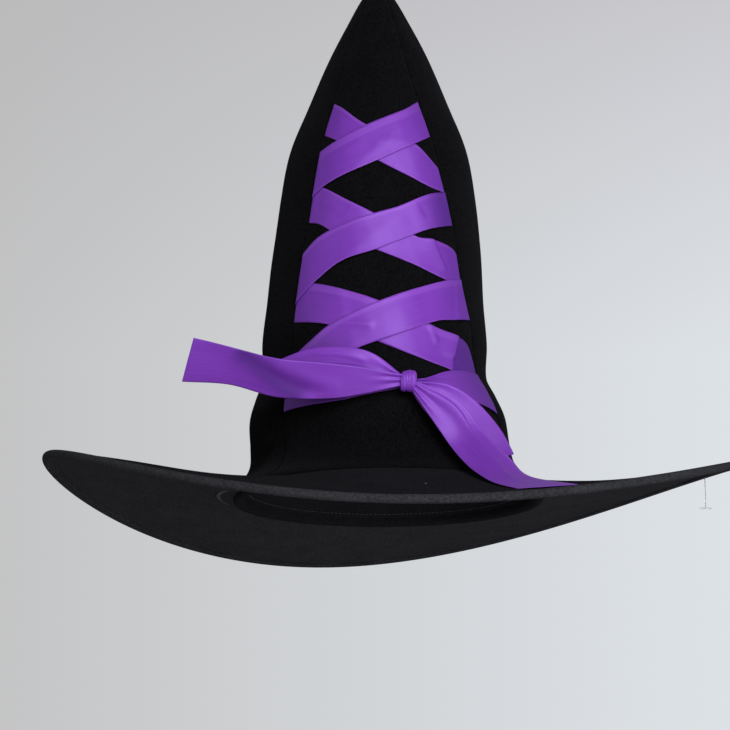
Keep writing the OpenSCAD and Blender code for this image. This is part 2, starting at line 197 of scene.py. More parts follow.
def edge_z(t):
    """Height of the brim's edge: a saddle with a tilt, a twist and three lobes."""
    return (
        -BRIM_DROP + BRIM_SIDE * sin(t) - BRIM_TILT * cos(t) - BRIM_SADDLE * cos(2 * t)
        - BRIM_TWIST * sin(2 * t) + BRIM_RIPPLE * sin(3 * t + 6)
    )


def edge_run(t):
    """Distance from the ring to the edge seen from above, less where the edge is raised."""
    flat_run = BRIM_D / 2 - ring_r(t)
    return np.sqrt(flat_run**2 - DRAW_IN * edge_z(t) ** 2)


def brim_pt(t, s, up=0.0):
    """Point on the brim's top at angle t, s from the ring (0) to the edge (1), up above it."""
    r = ring_r(t) + edge_run(t) * s
    c = np.clip(s, 0, 1)
    power = BRIM_POWER - POWER_SIDE * sin(t)
    dip = 4 * BRIM_DIP * c * (1 - c) * smooth(sin(t) / DIP_FULL)
    z = edge_z(t) * (1 - (1 - c) ** power) - dip + up
    return np.stack(np.broadcast_arrays(r * sin(t), -r * cos(t), z), -1)


def rim_pt(t, inward, up=0.0):
    """The same, measured in from the edge."""
    return brim_pt(t, 1 - inward / edge_run(t), up)


def slump(t, z):
    """Soft hollows and swellings of the padded wall: broad waves round the hat and up it."""
    low = 1 - smooth((z - 30) / 90)
    waves = (
        0.5 * sin(3 * t + 1.1 * z + 40) + 0.4 * sin(5 * t - 1.7 * z + 200)
        + 0.3 * sin(8 * t + 2.6 * z + 110) + 0.25 * sin(2 * t + 4.3 * z)
    )
    foot = smooth(z / 14)
    return (0.7 + 0.9 * low) * waves * foot * smooth((CROWN_H - z) / 40)


# ---- meshes ----
def run_of(path):
    """Length of a path of points."""
    return np.linalg.norm(np.diff(path, axis=0), axis=1).sum()


def grid_faces(rows, cols, flip=False):
    """Quads of a grid, facing the side from which rows go up and columns right."""
    i = np.arange(rows - 1)[:, None] * cols
    j = np.arange(cols - 1)[None, :]
    quads = np.stack([i + j, i + j + 1, i + cols + j + 1, i + cols + j], -1).reshape(-1, 4)
    return quads[:, ::-1] if flip else quads


def arc_uv(points):
    """Place on the cloth in metres: mean run along the columns, mean run up the rows."""
    along = np.linalg.norm(np.diff(points, axis=1), axis=2).mean(0).cumsum()
    up = np.linalg.norm(np.diff(points, axis=0), axis=2).mean(1).cumsum()
    u, v = np.meshgrid(np.append(0, along), np.append(0, up))
    return np.stack([u, v], -1) * MM


def new_mesh(name, points, faces, uv=None, weld=True, dull=None):
    """Object with its place in its mesh; equal points are merged, so that rings and poles close."""
    mesh = bpy.data.meshes.new(name)
    flat = np.asarray(points, float).reshape(-1, 3) * MM
    mesh.from_pydata(flat.tolist(), [], np.asarray(faces).tolist())
    if uv is not None:
        layer = mesh.uv_layers.new(name="UVMap")
        per_corner = np.asarray(uv, float).reshape(-1, 2)[np.asarray(faces).ravel()]
        layer.data.foreach_set("uv", per_corner.astype(np.float32).ravel())
    # per-point painted shade, with the dull back of folds, read by the satin
    if dull is not None:
        held = mesh.attributes.new("dull", "FLOAT", "POINT")
        held.data.foreach_set("value", np.asarray(dull, np.float32).ravel())
    if weld:
        work = bmesh.new()
        work.from_mesh(mesh)
        bmesh.ops.remove_doubles(work, verts=work.verts, dist=1e-6)
        work.to_mesh(mesh)
        work.free()
    mesh.polygons.foreach_set("use_smooth", np.ones(len(mesh.polygons), bool))
    obj = bpy.data.objects.new(name, mesh)
    bpy.context.scene.collection.objects.link(obj)
    return obj


def grid_mesh(name, points, flip=False, thick=0.0, side=-1.0, dull=None):
    """Sheet through a grid of points, with a wall of the given thickness behind its face."""
    rows, cols = points.shape[:2]
    obj = new_mesh(name, points, grid_faces(rows, cols, flip), arc_uv(points), dull=dull)
    if thick:
        wall = obj.modifiers.new("wall", "SOLIDIFY")
        wall.thickness = thick * MM
        wall.offset = side
        wall.use_even_offset = False
    return obj


def grid_normals(points):
    """Unit normals of a grid, along its columns' direction crossed with its rows'."""
    along, up = np.gradient(points, axis=1), np.gradient(points, axis=0)
    n = np.cross(along, up)
    return n / np.maximum(np.linalg.norm(n, axis=-1, keepdims=True), 1e-9)


def tube(path, radii, sides=16):
    """Grid of points around a path: circles of the given radii square to it."""
    path = np.asarray(path, float)
    ahead = np.gradient(path, axis=0)
    ahead /= np.linalg.norm(ahead, axis=1, keepdims=True)
    helper = np.where(np.abs(ahead[:, 2:3]) > 0.7, [[0.0, 1.0, 0.0]], [[0.0, 0.0, 1.0]])
    a = np.cross(ahead, helper)
    a /= np.linalg.norm(a, axis=1, keepdims=True)
    b = np.cross(ahead, a)
    turns = np.linspace(0, 360, sides + 1)
    circle = cos(turns)[None, :, None] * a[:, None] + sin(turns)[None, :, None] * b[:, None]
    return path[:, None] + np.asarray(radii, float)[:, None, None] * circle


def bar(start, end, radius, sides=16):
    """Round bar with domed ends: radius times sqrt(1 - x^2) over its last radius of length."""
    start, end = np.asarray(start, float), np.asarray(end, float)
    length = np.linalg.norm(end - start)
    dome = radius * (1 - cos(np.linspace(0, 90, 6)))
    along = np.concatenate([dome, length - dome[::-1]])
    depth = np.minimum(along, length - along)
    radii = radius * np.sqrt(np.clip(1 - (1 - np.minimum(depth / radius, 1)) ** 2, 0, 1))
    return tube(start + (end - start) * (along / length)[:, None], radii, sides)


# ---- material tools ----
def set_inputs(tree, node, inputs):
    """Inputs of a node set to values or linked to sockets."""
    for key, value in inputs.items():
        if isinstance(value, bpy.types.NodeSocket):
            tree.links.new(value, node.inputs[key])
        else:
            node.inputs[key].default_value = value


def add_node(tree, kind, inputs=None, **settings):
    """Node with its settings and inputs."""
    made = tree.nodes.new(kind)
    for key, value in settings.items():
        setattr(made, key, value)
    set_inputs(tree, made, inputs or {})
    return made


def math_node(tree, operation, a, b=0.0):
    """Value of a and b joined by an operation."""
    return add_node(tree, "ShaderNodeMath", {0: a, 1: b}, operation=operation).outputs[0]


def noise_node(tree, vector, scale, detail=2.0, rough=0.5):
    """Noise value from 0 to 1 with its middle at 0.5."""
    return add_node(
        tree,
        "ShaderNodeTexNoise",
        {"Vector": vector, "Scale": scale, "Detail": detail, "Roughness": rough},
    ).outputs["Fac"]


def range_node(tree, value, low, high, to_low=0.0, to_high=1.0):
    """Value carried from one range to another and held within it."""
    inputs = {"Value": value, 1: low, 2: high, 3: to_low, 4: to_high}
    return add_node(tree, "ShaderNodeMapRange", inputs).outputs["Result"]


def blend_node(tree, mask, first, second):
    """Colour between two by a mask."""
    made = add_node(tree, "ShaderNodeMix", {"Factor": mask}, data_type="RGBA")
    set_inputs(tree, made, {6: first, 7: second})
    return made.outputs[2]


def new_group(name, inputs, outputs):
    """Shader node group with named inputs, given with their defaults, and outputs."""
    tree = bpy.data.node_groups.new(name, "ShaderNodeTree")
    for key, value in inputs.items():
        kind = "NodeSocketVector" if isinstance(value, tuple) else "NodeSocketFloat"
        tree.interface.new_socket(name=key, in_out="INPUT", socket_type=kind).default_value = value
    for key in outputs:
        tree.interface.new_socket(name=key, in_out="OUTPUT", socket_type="NodeSocketFloat")
    return tree, tree.nodes.new("NodeGroupInput").outputs, tree.nodes.new("NodeGroupOutput").inputs


def use_group(tree, group, inputs):
    """A node group placed in a material with its own values."""
    made = tree.nodes.new("ShaderNodeGroup")
    made.node_tree = group
    set_inputs(tree, made, inputs)
    return made.outputs


def nap_group():
    """Short pile: fine tufts, brushed patches and a few light specks of lint."""
    defaults = {"Place": (0.0, 0.0, 0.0), "Tuft": 1800.0, "Patch": 45.0, "Lint": 0.5}
    tree, put, out = new_group("short_pile", defaults, ["Height", "Brushed", "Specks"])
    tufts = noise_node(tree, put["Place"], put["Tuft"], 3.0, 0.65)
    curls = add_node(
        tree,
        "ShaderNodeTexVoronoi",
        {"Vector": put["Place"], "Scale": math_node(tree, "MULTIPLY", put["Tuft"], 0.55)},
    ).outputs["Distance"]
    height = math_node(tree, "SUBTRACT", tufts, math_node(tree, "MULTIPLY", curls, 0.6))
    wide = noise_node(tree, put["Place"], put["Patch"], 4.0, 0.6)
    grain = noise_node(tree, put["Place"], 750.0, 2.0, 0.6)
    patches = math_node(tree, "ADD", math_node(tree, "MULTIPLY", wide, 0.22),
                        math_node(tree, "MULTIPLY", grain, 0.78))
    cells = add_node(tree, "ShaderNodeTexVoronoi", {"Vector": put["Place"], "Scale": 85.0})
    dot = math_node(tree, "LESS_THAN", cells.outputs["Distance"], 0.045)
    pick = add_node(tree, "ShaderNodeSeparateColor", {"Color": cells.outputs["Color"]}).outputs[0]
    rare = math_node(tree, "LESS_THAN", pick, math_node(tree, "MULTIPLY", put["Lint"], 0.12))
    tree.links.new(height, out["Height"])
    tree.links.new(patches, out["Brushed"])
    tree.links.new(math_node(tree, "MULTIPLY", dot, rare), out["Specks"])
    return tree


def weave_group():
    """Satin along the piece's own UV: long warp floats, slubs, and a mask of the two woven edges
    for their painted highlight.
    """
    defaults = {"Place": (0.0, 0.0, 0.0), "Width": RIBBON_W * MM}
    tree, put, out = new_group("satin_floats", defaults, ["Height", "Slubs", "EdgeHighlight"])
    fine, long_run = [
        add_node(tree, "ShaderNodeVectorMath", {0: put["Place"], 1: scale}, operation="MULTIPLY")
        for scale in ((300.0, 5200.0, 1.0), (25.0, 900.0, 1.0))
    ]
    floats = noise_node(tree, fine.outputs[0], 1.0, 2.0, 0.5)
    slubs = noise_node(tree, long_run.outputs[0], 1.0, 3.0, 0.6)
    parts = add_node(tree, "ShaderNodeSeparateXYZ", {"Vector": put["Place"]}).outputs
    middle = math_node(tree, "MULTIPLY", put["Width"], 0.5)
    away = math_node(tree, "ABSOLUTE", math_node(tree, "SUBTRACT", parts["Y"], middle))
    inward = math_node(tree, "SUBTRACT", middle, away)
    tree.links.new(floats, out["Height"])
    tree.links.new(slubs, out["Slubs"])
    # mask of the woven edges, for a painted highlight along them
    tree.links.new(range_node(tree, inward, 0.0003, 0.001, 1.0, 0.0), out["EdgeHighlight"])
    return tree


NAP, WEAVE = nap_group(), weave_group()


def new_material(name):
    """Material with a Principled BSDF; gives its tree, shader and Object coordinates."""
    made = bpy.data.materials.new(name)
    made.use_nodes = True
    tree = made.node_tree
    shader = tree.nodes["Principled BSDF"]
    place = tree.nodes.new("ShaderNodeTexCoord").outputs
    return made, tree, shader, place


def bump(tree, shader, height, distance, strength=1.0):
    """Relief of the given depth in metres on the shader's normal."""
    made = add_node(
        tree, "ShaderNodeBump", {"Height": height, "Distance": distance, "Strength": strength}
    )
    tree.links.new(made.outputs["Normal"], shader.inputs["Normal"])


def pile_material(name, dark, light, tuft, depth, sheen, gloss, lint=0.5, rough=0.9):
    """Napped cloth: colour and roughness by brushed patch, with tufts in relief and lint."""
    made, tree, shader, place = new_material(name)
    nap = use_group(tree, NAP, {"Place": place["Object"], "Tuft": tuft, "Lint": lint})
    patch = range_node(tree, nap["Brushed"], 0.36, 0.64)
    colour = blend_node(tree, patch, dark, light)
    colour = blend_node(tree, nap["Specks"], colour, (0.35, 0.34, 0.33, 1))
    set_inputs(tree, shader, {
        "Base Color": colour,
        "Roughness": range_node(tree, nap["Height"], 0.0, 1.0, rough, rough - 0.1),
        "Specular IOR Level": gloss,
        "Sheen Weight": sheen,
        "Sheen Roughness": 0.45,
        "Sheen Tint": (0.75, 0.76, 0.85, 1),
    })
    bump(tree, shader, nap["Height"], depth)
    return made


def foam_material():
    """Charcoal foam: open cells of two sizes in relief, with painted shade in their hollows."""
    made, tree, shader, place = new_material("grey_foam")
    cells = add_node(tree, "ShaderNodeTexVoronoi", {"Vector": place["Object"], "Scale": 900.0})
    small = noise_node(tree, place["Object"], 2400.0, 2.0)
    grain = math_node(tree, "MULTIPLY", small, 0.4)
    height = math_node(tree, "ADD", cells.outputs["Distance"], grain)
    # painted shade: darker where the cells are hollow
    colour = blend_node(tree, range_node(tree, height, 0.2, 0.9), (0.012, 0.012, 0.013, 1),
                        (0.035, 0.035, 0.037, 1))
    set_inputs(tree, shader, {"Base Color": colour, "Roughness": 0.95})
    bump(tree, shader, height, 0.0004)
    return made


def satin_material():
    """Purple satin: warp floats and slubs in colour, gloss and relief; painted highlight on its
    woven edges, and painted shade, darker and rougher by the attribute.
    """
    made, tree, shader, place = new_material("purple_satin")
    weave = use_group(tree, WEAVE, {"Place": place["UV"]})
    colour = blend_node(
        tree, range_node(tree, weave["Slubs"], 0.3, 0.7), (0.132, 0.025, 0.31, 1),
        (0.158, 0.032, 0.365, 1))
    # painted highlight: the woven edges lightened as if catching the light
    colour = blend_node(
        tree, math_node(tree, "MULTIPLY", weave["EdgeHighlight"], 0.35), colour, (0.24, 0.075, 0.48, 1))
    # painted shade: darker and rougher by the attribute where the ribbon turns from the light, and
    # on the dull back of a fold
    dull = add_node(tree, "ShaderNodeAttribute", attribute_name="dull").outputs["Fac"]
    colour = blend_node(tree, dull, colour, (0.05, 0.008, 0.15, 1))
    rough = range_node(tree, weave["Slubs"], 0.25, 0.75, 0.36, 0.44)
    set_inputs(tree, shader, {
        "Base Color": colour,
        "Roughness": math_node(tree, "ADD", rough, math_node(tree, "MULTIPLY", dull, 0.2)),
        "Specular IOR Level": 0.68,
        "Specular Tint": (0.6, 0.4, 1.0, 1),
    })
    bump(tree, shader, weave["Height"], 0.00006)
    return made


def thread_material():
    """Black sewing thread with a twisted ply."""
    made, tree, shader, place = new_material("black_thread")
    ply = noise_node(tree, place["Object"], 4000.0, 1.0)
    colour = blend_node(tree, ply, (0.006, 0.006, 0.007, 1), (0.03, 0.03, 0.034, 1))
    set_inputs(tree, shader, {"Base Color": colour, "Roughness": 0.6})
    bump(tree, shader, ply, 0.0001)
    return made


def metal_material(name, dark, light, rough):
    """Drawn metal: fine noise in its colour and gloss, with scratches in relief."""
    made, tree, shader, place = new_material(name)
    wear = noise_node(tree, place["Object"], 700.0, 4.0, 0.7)
    set_inputs(tree, shader, {
        "Base Color": blend_node(tree, wear, dark, light),
        "Roughness": range_node(tree, wear, 0.3, 0.7, rough, rough + 0.15),
        "Metallic": 1.0,
    })
    bump(tree, shader, wear, 0.00003)
    return made


def clear_material():
    """Clear moulded plastic, slightly cloudy, with faint flow marks."""
    made, tree, shader, place = new_material("clear_nylon")
    flow = noise_node(tree, place["Object"], 350.0, 2.0)
    set_inputs(tree, shader, {
        "Base Color": blend_node(tree, flow, (0.9, 0.92, 0.95, 1), (0.98, 0.98, 1.0, 1)),
        "Roughness": range_node(tree, flow, 0.3, 0.7, 0.12, 0.25),
        "Transmission Weight": 0.75,
        "IOR": 1.5,
    })
    bump(tree, shader, flow, 0.00005)
    return made


VELOUR = pile_material(
    "black_velour", (0.0018, 0.0018, 0.0021, 1), (0.0050, 0.0050, 0.0057, 1), 1500.0, 0.0004,
    0.02, 0.0)
FELT = pile_material(
    "black_brim_felt", (0.014, 0.0142, 0.0162, 1), (0.031, 0.0315, 0.035, 1), 2600.0, 0.00015,
    0.005, 0.0, lint=0.3, rough=0.85)
# painted shade: a darker copy of the brim felt for the top cover, where the light falls less
FELT_TOP_SHADED = pile_material(
    "black_brim_top_shaded", (0.0066, 0.0066, 0.0080, 1), (0.0125, 0.0125, 0.0148, 1), 2600.0, 0.00015,
    0.004, 0.0, lint=0.4, rough=0.85)
BAND = pile_material(
    "black_band", (0.006, 0.006, 0.007, 1), (0.011, 0.011, 0.013, 1), 3000.0, 0.00015, 0.005, 0.0,
    lint=0.0)
FOAM, SATIN, THREAD, CLEAR = foam_material(), satin_material(), thread_material(), clear_material()
STEEL = metal_material("drawn_steel", (0.42, 0.42, 0.44, 1), (0.62, 0.62, 0.64, 1), 0.3)
BRASS = metal_material("crimped_ferrule", (0.5, 0.5, 0.5, 1), (0.72, 0.71, 0.68, 1), 0.25)


def dress(obj, material, body, slot, *nodes):
    """Material, body and the CAD nodes that a new piece stands for; slot is not used."""
    obj.data.materials.append(material)
    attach(obj, body)
    if nodes:
        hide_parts(*nodes)
    return obj


def cut(points):
    """Size a sheet was cut to, and its area, in metres, from a grid before it is wrinkled."""
    along = np.linalg.norm(np.diff(points, axis=1), axis=2).sum(1).max()
    up = np.linalg.norm(np.diff(points, axis=0), axis=2).sum(0).max()
    n = np.cross(points[1:, 1:] - points[:-1, :-1], points[1:, :-1] - points[:-1, 1:])
    area = np.linalg.norm(n, axis=-1).sum() / 2
    return (along * MM, up * MM), area * MM * MM


# ---- crown ----
GORES = ["front", "right", "back", "left"]
SEAM_DIP, SEAM_HALF, PUCKER = 0.8, 0.8, 0.12
TIP_ROUND = 2.5


def gore_grid(k, rows, cols, off, shaped=True, skin=True):
    """Gore k as rows up the crown and columns across it, closer together at the seams.

    A shaped one slumps and sinks softly to its seams. The skin also dips by SEAM_DIP into each
    seam as a bell of half-width SEAM_HALF and puckers along it; its foot is turned in. The tip
    closes as a quarter circle.
    """
    z = np.linspace(GAP, CROWN_H, rows)[:, None]
    s = np.linspace(0, 1, cols)[None, :]
    v = mix(s, (1 - np.cos(np.pi * s)) / 2, 0.75)
    a, b = gore_ends(k, z)
    t = mix(a, b, v)
    lift = np.full(t.shape, float(off))
    arc = np.radians(b - a) * crown_w(z)
    away = np.minimum(v, 1 - v) * arc
    near = smooth(crown_w(z) / 20)
    if shaped:
        lift += slump(t, z) - 0.45 * near * bell(away, 6) + foot_folds(t, z)
    if shaped and skin:
        lift -= near * SEAM_DIP * bell(away, SEAM_HALF)
        beat = sin(z * 31 + 90 * k + 60 * sin(z * 3.1)) + 0.6 * sin(z * 53 + 40 * k)
        lift += near * PUCKER * beat * bell(away - 3, 3)
        lift -= 0.9 * np.exp(-(z - GAP) / 0.7)
    points = crown_pt(t, z, lift)
    closing = np.clip((z - (CROWN_H - TIP_ROUND)) / TIP_ROUND, 0, 1)
    shrink = np.sqrt(1 - closing**2)[..., None]
    axis = np.stack(np.broadcast_arrays(crown_x(z), 0 * z, z), -1)
    return axis + (points - axis) * np.concatenate([shrink, shrink, 1 + 0 * shrink], -1)


def ridge(x, y, start, end, width, height, steep=None):
    """Ridge along a straight line from start to end, fading at its ends.

    Across it is a bell of the given width; on the right of its run it is one of width steep.
    """
    a, b = np.asarray(start, float), np.asarray(end, float)
    length = np.hypot(*(b - a))
    ux, uy = (b - a) / length
    along = ((x - a[0]) * ux + (y - a[1]) * uy) / length
    away = (x - a[0]) * uy - (y - a[1]) * ux
    across = bell(away, np.where(away > 0, steep or width, width))
    fade = smooth(along / 0.2 + 0.5) * smooth((1 - along) / 0.2 + 0.5)
    return height * across * fade


# folds of the crown's foot: start and end as (run round the ring from the front, height), width,
# height
FOOT_FOLDS = [
    ((-102, 30), (-133, 4), 2.6, 2.2), ((-112, 24), (-145, 6), 5, -1.3),
    ((-101, 44), (-104, 20), 2.2, -1.1), ((96, 34), (122, 6), 4, 1.2), ((-60, 8), (60, 9), 4, -0.5),
]


def foot_folds(t, z):
    """Folds at the crown's foot, and its flare, which is widest on the left."""
    left = (t + 180) % 360 - 180
    girth = np.radians(left) * RING_W / 2
    flare = 15 * bell(left + 98, 36) + 4 * bell(left - 85, 30)
    flare = flare * np.exp(-np.maximum(z - 4, 0) / 2.6)
    return sum(ridge(girth, z, *fold) for fold in FOOT_FOLDS) + flare


def make_crown():
    """The four velour gores and the foam behind each."""
    for k, name in enumerate(GORES):
        skin = grid_mesh(f"crown_{name}_velour", gore_grid(k, 300, 72, 0), thick=SKIN_T)
        dress(skin, VELOUR, "hat", "velour", f"crown_{name}_panel")
        flat, area = cut(gore_grid(k, 80, 24, 0, shaped=False))
        pad_grid = gore_grid(k, 160, 40, -SKIN_T - GAP, skin=False)[:-2]
        pad = grid_mesh(f"crown_{name}_padding", pad_grid, thick=PAD_SHARE * FOAM_T)
        dress(pad, FOAM, "hat", "foam", f"crown_{name}_foam")


# ---- brim ----
def around(steps):
    """Angles once round the hat, the last one on the first."""
    return np.linspace(0, 360, steps + 1)[None, :]


def brim_grid(up, end_in, rows=56, steps=300):
    """Layer of the brim: rows from inside the crown's wall out to end_in from the edge."""
    t = around(steps)
    s = np.linspace(0, 1, rows)[:, None]
    run = edge_run(t)
    start = -(WALL_T - GAP) / run
    share = mix(start, 1 - end_in / run, s)
    half, whole = np.sin(np.pi * s), np.sin(2 * np.pi * s)
    sag = 0.35 * sin(4 * t + 20) * half + 0.25 * sin(9 * t + 80) * whole
    return brim_pt(t, share, up + sag * half)


# the binding's face from the hem's inner line, out round the edge and in on top: inward, up
BINDING_PATH = [
    (8.7, -2.9), (8.4, -3.4), (7.9, -3.45), (7.3, -3.1), (6.6, -3.5), (5.4, -3.65), (4.2, -3.7),
    (3.1, -3.85), (2.1, -3.95), (1.1, -3.7), (0.4, -3.0), (0.0, -2.0), (0.0, -1.1), (0.35, -0.15),
    (1.0, 0.45), (1.9, 0.72), (2.6, 0.66), (3.1, 0.42), (3.3, 0.0),
]


def binding_grid(steps=480, rows=44):
    """The binding's profile carried round the edge, with a slight ripple between stitches."""
    t = around(steps)
    q = path_at(BINDING_PATH, np.linspace(0, 1, rows))[:, None, :]
    ripple = 0.12 * sin(t * 37) + 0.1 * sin(t * 23 + 50)
    under = smooth((q[..., 0] - 2) / 3) * (q[..., 1] < -2)
    return rim_pt(t, q[..., 0], q[..., 1] + ripple * under)


def stitches(name, path, length, pitch, radius, up_of):
    """Row of stitches along a closed path: domed bars laid on it, raised in the middle."""
    run = np.append(0, np.linalg.norm(np.diff(path, axis=0), axis=1).cumsum())
    count = int(run[-1] / pitch)
    at = (np.arange(count) + 0.5) * run[-1] / count

    def sample(values, place):
        return np.stack([np.interp(place, run, values[:, i]) for i in range(3)], -1)

    centre = sample(path, at)
    ahead = sample(path, at + 0.5) - centre
    ahead /= np.linalg.norm(ahead, axis=1, keepdims=True)
    up = sample(up_of, at)
    side = np.cross(ahead, up)
    x = length / 2 * np.array([-1, -0.85, -0.4, 0.4, 0.85, 1])
    r = radius * np.array([0.25, 0.8, 1, 1, 0.8, 0.25])
    rise = radius * np.array([-0.9, -0.2, 0.5, 0.5, -0.2, -0.9])
    turns = np.arange(6) * 60
    local_side = r[:, None] * cos(turns)[None, :]
    local_up = rise[:, None] + r[:, None] * sin(turns)[None, :]
    local_along = np.broadcast_to(x[:, None], local_side.shape)
    shape = [local_along.ravel(), local_side.ravel(), local_up.ravel()]
    points = centre[:, None] + sum(
        s[None, :, None] * d[:, None] for s, d in zip(shape, (ahead, side, up))
    )
    i, j = np.meshgrid(np.arange(5), np.arange(6), indexing="ij")
    quads = np.stack([6 * i + j, 6 * i + (j + 1) % 6, 6 * i + 6 + (j + 1) % 6, 6 * i + 6 + j], -1)
    quads = quads.reshape(-1, 4)
    caps = np.array([[3, 2, 1, 0], [5, 4, 3, 0], [30, 31, 32, 33], [30, 33, 34, 35]])
    template = np.concatenate([quads, caps])
    faces = (template[None] + 36 * np.arange(count)[:, None, None]).reshape(-1, 4)
    return new_mesh(name, points, faces, weld=False)


def surface_up(path, inner):
    """Unit normals beside a path on the brim, from the line just inward of it."""
    ahead = np.gradient(path, axis=0)
    n = np.cross(ahead, inner - path)
    return n / np.linalg.norm(n, axis=1, keepdims=True)


def make_brim():
    """Covers, foam core, edge binding and the stitch rows that hold the hem."""
    top = grid_mesh("brim_top_felt", brim_grid(0.0, COVER_IN), flip=True, thick=COVER_T)
    dress(top, FELT_TOP_SHADED, "hat", "felt", "brim_top_cover")
    core = grid_mesh(
        "brim_padding", brim_grid(-COVER_T - BRIM_GAP, CORE_IN, 40, 240), flip=True, thick=CORE_T)
    dress(core, FOAM, "hat", "foam", "brim_foam_core")
    under = grid_mesh("brim_under_felt", brim_grid(-BRIM_T, COVER_IN), thick=COVER_T)
    dress(under, FELT, "hat", "felt", "brim_under_cover")

    binding = grid_mesh("brim_binding", binding_grid(), flip=True, thick=BINDING_T)
    dress(binding, FELT, "hat", "felt", "brim_edge_binding")
    strip = run_of(BINDING_PATH) * MM

    t = around(720)[0]
    on_top, below = rim_pt(t, HEM_IN, 0.05), rim_pt(t, HEM_IN, -3.12)
    up = surface_up(on_top, rim_pt(t, HEM_IN + 0.5, 0))
    for name, path, radius, side in (("top", on_top, 0.2, up), ("under", below, 0.24, -up)):
        row = stitches(f"hem_stitches_{name}", path, 2.7, 3.6, radius, side)
        dress(row, THREAD, "hat", "felt")


# ---- sweatband ----
# the band's profile from the roll under the brim up the inside: inward of the ring, height
BAND_PATH = [
    (-1.6, -2.9), (-1.9, -4.0), (-0.9, -5.4), (0.9, -6.0), (3.0, -5.6), (4.8, -4.4), (5.6, -2.6),
    (5.9, 0.0), (5.9, 5.0), (5.9, 11.0), (5.9, 17.0), (5.9, 21.5), (6.1, 23.4), (5.8, 24.2),
]


def make_sweatband(steps=260, rows=64):
    """The band sewn inside the head opening: a soft roll under the brim, then up the wall."""
    t = around(steps)
    q = path_at(BAND_PATH, np.linspace(0, 1, rows))[:, None, :]
    z = q[..., 1]
    wrinkle = 0.2 * sin(17 * t + 4 * z) + 0.1 * sin(41 * t + 30 + 7 * z)
    pinch = -0.35 * bell(z - 21, 0.8) - 0.35 * bell(z - 2, 0.9)
    inward = q[..., 0] - wrinkle * smooth((z + 6) / 6) - pinch
    level = np.maximum(z, 0)
    oval = crown_pt(t, level, slump(t, level) - inward)
    below = ring_r(t, -inward)
    ring = np.stack([below * sin(t), -below * cos(t), 0 * below + z], -1)
    points = np.where((z < 0)[..., None], ring, oval)
    band = grid_mesh("sweatband_cloth", points, thick=BAND_T, flip=True)
    dress(band, BAND, "hat", "band", "sweatband")
    girth = run_of(crown_pt(t[0], 0.0, -5.0)) * MM
    run_of(BAND_PATH) * MM

    line = around(720)[0]
    for name, height in (("band_stitches_upper", 21.0), ("band_stitches_lower", 2.0)):
        path = crown_pt(line, height, slump(line, height) - BAND_SEAM_IN)
        inside = np.stack([-sin(line), cos(line), 0 * line], -1)
        row = stitches(name, path, 2.4, 3.2, 0.2, inside)
        dress(row, THREAD, "hat", "band")


# ---- lacing ----
# each strand's upper and lower edge: place across the front gore, height
LACES = {
    "lace_left_1": (
        [(-1, 257.5), (-0.68, 251.5), (-0.15, 236.5), (0.63, 223.5), (0.95, 209), (1, 206)],
        [(-1, 233.5), (-0.54, 224), (0.28, 203.5), (0.69, 194.5), (1, 191.5)],
    ),
    "lace_right_1": (
        [(-1, 219.5), (-0.72, 225), (-0.15, 236.5), (0.54, 248), (0.9, 255.5), (1, 257)],
        [(-1, 188), (-0.77, 195), (-0.15, 207.5), (0.4, 219), (1, 231.5)],
    ),
    "lace_left_2": (
        [(-1, 196), (-0.79, 194), (-0.41, 183), (-0.08, 173.5), (0.41, 159), (0.6, 158),
         (0.91, 154), (1, 148)],
        [(-1, 172), (-0.79, 169), (-0.59, 162.5), (-0.08, 149), (0.28, 141), (0.73, 131.5),
         (1, 131)],
    ),
    "lace_right_2": (
        [(-1, 148.5), (-0.76, 160), (-0.39, 168), (-0.08, 173.5), (0.22, 178.5), (0.66, 188.5),
         (1, 192.5)],
        [(-1, 115.5), (-0.73, 130), (-0.49, 141), (-0.08, 149), (0.19, 155.5), (0.58, 164.5),
         (1, 170.5)],
    ),
    "lace_left_3": (
        [(-1, 129), (-0.77, 128.5), (-0.37, 121), (-0.07, 113.5), (0.43, 99), (0.71, 94),
         (0.89, 89), (1, 75)],
        [(-1, 104.5), (-0.55, 98.5), (0.08, 81), (0.35, 75), (0.6, 71), (0.8, 63), (1, 52)],
    ),
    "lace_right_3": (
        [(-1, 80), (-0.9, 84), (-0.74, 90), (-0.55, 98.5), (-0.07, 113.5), (0.35, 124), (0.74, 132),
         (1, 135)],
        [(-1, 52), (-0.7, 65), (-0.37, 80), (0.02, 90), (0.49, 102.5), (0.7, 105), (1, 108.5)],
    ),
    "lace_left_4": (
        [(-1, 69.5), (-0.5, 69), (-0.15, 64), (0.03, 60.5)],
        [(-1, 44), (-0.74, 45.5), (-0.45, 46.5), (-0.23, 50), (0.03, 54.5)],
    ),
    "lace_right_4": (
        [(0.16, 61), (0.24, 62), (0.48, 69), (0.72, 72.5), (1, 72.5)],
        [(0.16, 55), (0.35, 57.5), (0.48, 56), (0.63, 51.5), (0.84, 48.5), (1, 46)],
    ),
}
